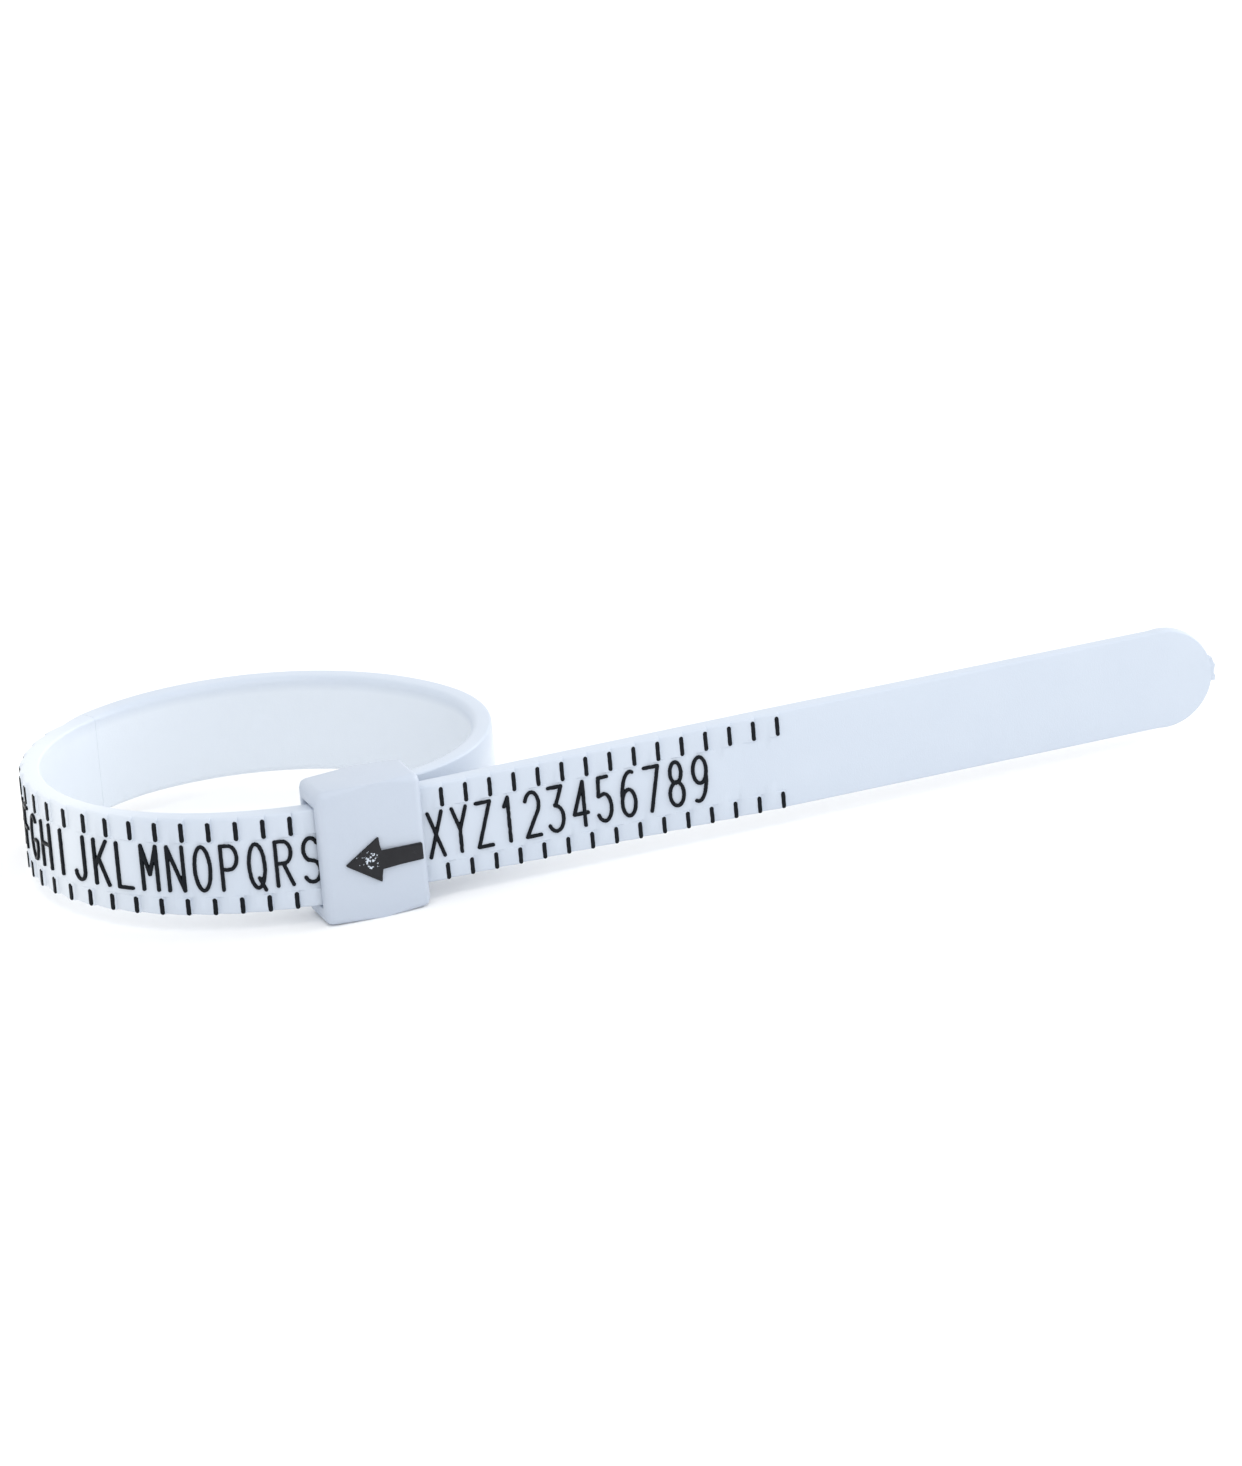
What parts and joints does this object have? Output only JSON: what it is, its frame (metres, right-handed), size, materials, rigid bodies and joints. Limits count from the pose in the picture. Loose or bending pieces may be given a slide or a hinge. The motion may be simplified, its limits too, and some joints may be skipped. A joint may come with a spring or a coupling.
{
  "type": "ring sizer",
  "caption": "Adjustable plastic ring sizer: a toothed strap curls into a finger loop and slides through a buckle that points at the size.",
  "frame": {"origin": "middle of the buckle's flat bottom face, on which the gauge stands on edge", "axes": "+X along the tail, away from the loop; +Z across the strap's width, up; -Y is the marked side"},
  "size_m": [0.0571, 0.0212, 0.0068],
  "materials": {
    "strap_plastic": "satin, faintly blue-white moulded plastic",
    "buckle_plastic": "satin, faintly blue-white moulded plastic",
    "black_print": "black print on the raised marks",
    "arrow_print": "worn dark grey print on the raised arrow"
  },
  "bodies": {
    "root": {"buckle_front": "buckle_plastic", "buckle_back": "buckle_plastic", "buckle_top": "buckle_plastic", "buckle_bottom": "buckle_plastic", "buckle_arrow": "arrow_print", "strap_root": "strap_plastic"},
    "tail": {"tail": "strap_plastic", "marks_tail": "black_print"},
    "cell_s": {"cell_s": "strap_plastic", "marks_s": "black_print"},
    "cells_qr": {"cells_qr": "strap_plastic", "marks_qr": "black_print"},
    "cell_p": {"cell_p": "strap_plastic", "marks_p": "black_print"},
    "cells_mno": {"cells_mno": "strap_plastic", "marks_mno": "black_print"},
    "cells_jkl": {"cells_jkl": "strap_plastic", "marks_jkl": "black_print"},
    "cells_ghi": {"cells_ghi": "strap_plastic", "marks_ghi": "black_print"},
    "cells_def": {"cells_def": "strap_plastic", "marks_def": "black_print"},
    "cells_abc": {"cells_abc": "strap_plastic", "marks_abc": "black_print"},
    "plain_link_1": {"plain_link_1": "strap_plastic"},
    "plain_link_2": {"plain_link_2": "strap_plastic"},
    "plain_link_3": {"plain_link_3": "strap_plastic"},
    "plain_link_4": {"plain_link_4": "strap_plastic"},
    "plain_link_5": {"plain_link_5": "strap_plastic"}
  },
  "joints": [
    {"name": "strap_slide", "type": "slide", "parent": "root", "child": "tail", "axis": [1, 0, 0], "range_m": [-0.0024, 0.0049]},
    {"name": "fold_s", "type": "hinge", "parent": "tail", "child": "cell_s", "pos_m": [-0.00231, 0.0005, 0.00335], "axis": [0, 0, 1], "range_deg": [-5.2, 10.6]},
    {"name": "fold_qr", "type": "hinge", "parent": "cell_s", "child": "cells_qr", "pos_m": [-0.00351, 0.00074, 0.00335], "axis": [0, 0, 1], "range_deg": [-3.3, 6.7]},
    {"name": "fold_p", "type": "hinge", "parent": "cells_qr", "child": "cell_p", "pos_m": [-0.00584, 0.0015, 0.00335], "axis": [0, 0, 1], "range_deg": [-3.3, 6.7]},
    {"name": "fold_mno", "type": "hinge", "parent": "cell_p", "child": "cells_mno", "pos_m": [-0.00695, 0.00203, 0.00335], "axis": [0, 0, 1], "range_deg": [-10.7, 5.3]},
    {"name": "fold_jkl", "type": "hinge", "parent": "cells_mno", "child": "cells_jkl", "pos_m": [-0.00988, 0.00423, 0.00335], "axis": [0, 0, 1], "range_deg": [-10, 4.9]},
    {"name": "fold_ghi", "type": "hinge", "parent": "cells_jkl", "child": "cells_ghi", "pos_m": [-0.01185, 0.00731, 0.00335], "axis": [0, 0, 1], "range_deg": [-2.8, 1.4]},
    {"name": "fold_def", "type": "hinge", "parent": "cells_ghi", "child": "cells_def", "pos_m": [-0.01239, 0.01091, 0.00335], "axis": [0, 0, 1], "range_deg": [-2.1, 4.1]},
    {"name": "fold_abc", "type": "hinge", "parent": "cells_def", "child": "cells_abc", "pos_m": [-0.01125, 0.01438, 0.00335], "axis": [0, 0, 1], "range_deg": [-4.4, 8.8]},
    {"name": "fold_plain_1", "type": "hinge", "parent": "root", "child": "plain_link_1", "pos_m": [0.00544, 0.00342, 0.00335], "axis": [0, 0, 1], "range_deg": [-8.6, 4.3]},
    {"name": "fold_plain_2", "type": "hinge", "parent": "plain_link_1", "child": "plain_link_2", "pos_m": [0.0083, 0.00803, 0.00335], "axis": [0, 0, 1], "range_deg": [-5.6, 2.8]},
    {"name": "fold_plain_3", "type": "hinge", "parent": "plain_link_2", "child": "plain_link_3", "pos_m": [0.00705, 0.01333, 0.00335], "axis": [0, 0, 1], "range_deg": [-2.8, 5.6]},
    {"name": "fold_plain_4", "type": "hinge", "parent": "plain_link_3", "child": "plain_link_4", "pos_m": [0.00313, 0.01721, 0.00335], "axis": [0, 0, 1], "range_deg": [-6.5, 13.2]},
    {"name": "fold_plain_5", "type": "hinge", "parent": "plain_link_4", "child": "plain_link_5", "pos_m": [-0.00217, 0.01876, 0.00335], "axis": [0, 0, 1], "range_deg": [-4.3, 8.8]}
  ],
  "couplings": [
    {"joint": "fold_s", "follows": "strap_slide", "rad_per_m": 37.4},
    {"joint": "fold_qr", "follows": "strap_slide", "rad_per_m": 23.509},
    {"joint": "fold_p", "follows": "strap_slide", "rad_per_m": 23.509},
    {"joint": "fold_mno", "follows": "strap_slide", "rad_per_m": -37.806},
    {"joint": "fold_jkl", "follows": "strap_slide", "rad_per_m": -35.207},
    {"joint": "fold_ghi", "follows": "strap_slide", "rad_per_m": -9.454},
    {"joint": "fold_def", "follows": "strap_slide", "rad_per_m": 14.265},
    {"joint": "fold_abc", "follows": "strap_slide", "rad_per_m": 30.99},
    {"joint": "fold_plain_1", "follows": "strap_slide", "rad_per_m": -30.36},
    {"joint": "fold_plain_2", "follows": "strap_slide", "rad_per_m": -19.46},
    {"joint": "fold_plain_3", "follows": "strap_slide", "rad_per_m": 19.701},
    {"joint": "fold_plain_4", "follows": "strap_slide", "rad_per_m": 46.565},
    {"joint": "fold_plain_5", "follows": "strap_slide", "rad_per_m": 30.823}
  ]
}
